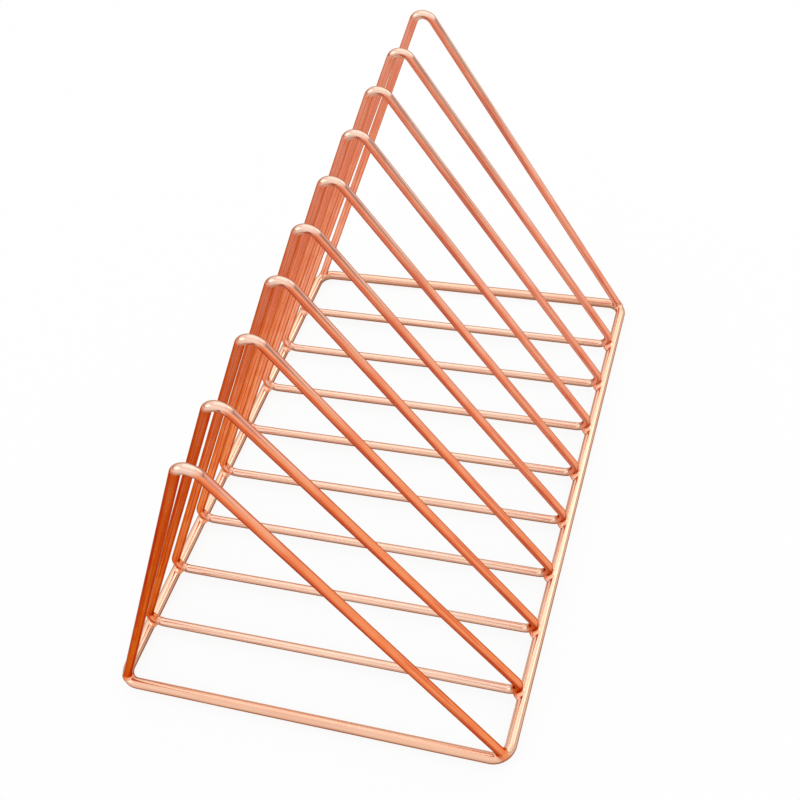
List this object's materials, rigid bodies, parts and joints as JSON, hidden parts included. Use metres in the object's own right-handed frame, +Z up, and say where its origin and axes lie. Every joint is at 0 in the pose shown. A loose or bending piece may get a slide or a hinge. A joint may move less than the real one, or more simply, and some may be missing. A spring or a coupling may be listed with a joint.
{
  "type": "desk file organizer",
  "caption": "Rose gold wire file organizer: a row of tall triangular wire dividers welded to a rectangular rod base, forming open slots for folders.",
  "frame": {"origin": "on the desk, under the middle of the base frame", "axes": "+Z up, +Y along the base from slot to slot, +X across the slots"},
  "size_m": [0.185, 0.271, 0.182],
  "materials": {
    "frame_plating": "bright rose gold plating on a bent steel rod",
    "wire_plating": "bright rose gold plating on steel wire",
    "weld_plating": "rose gold plating over small uneven welds"
  },
  "bodies": {
    "root": {"base_frame": "frame_plating", "divider_02": "wire_plating", "divider_03": "wire_plating", "divider_04": "wire_plating", "divider_05": "wire_plating", "divider_06": "wire_plating", "divider_07": "wire_plating", "divider_08": "wire_plating", "divider_09": "wire_plating", "end_divider_back": "wire_plating", "end_divider_front": "wire_plating", "weld_back_left_foot": "weld_plating", "weld_back_right_foot": "weld_plating", "weld_front_left_foot": "weld_plating", "weld_front_right_foot": "weld_plating", "weld_left_02": "weld_plating", "weld_left_03": "weld_plating", "weld_left_04": "weld_plating", "weld_left_05": "weld_plating", "weld_left_06": "weld_plating", "weld_left_07": "weld_plating", "weld_left_08": "weld_plating", "weld_left_09": "weld_plating", "weld_right_02": "weld_plating", "weld_right_03": "weld_plating", "weld_right_04": "weld_plating", "weld_right_05": "weld_plating", "weld_right_06": "weld_plating", "weld_right_07": "weld_plating", "weld_right_08": "weld_plating", "weld_right_09": "weld_plating"}
  },
  "joints": []
}
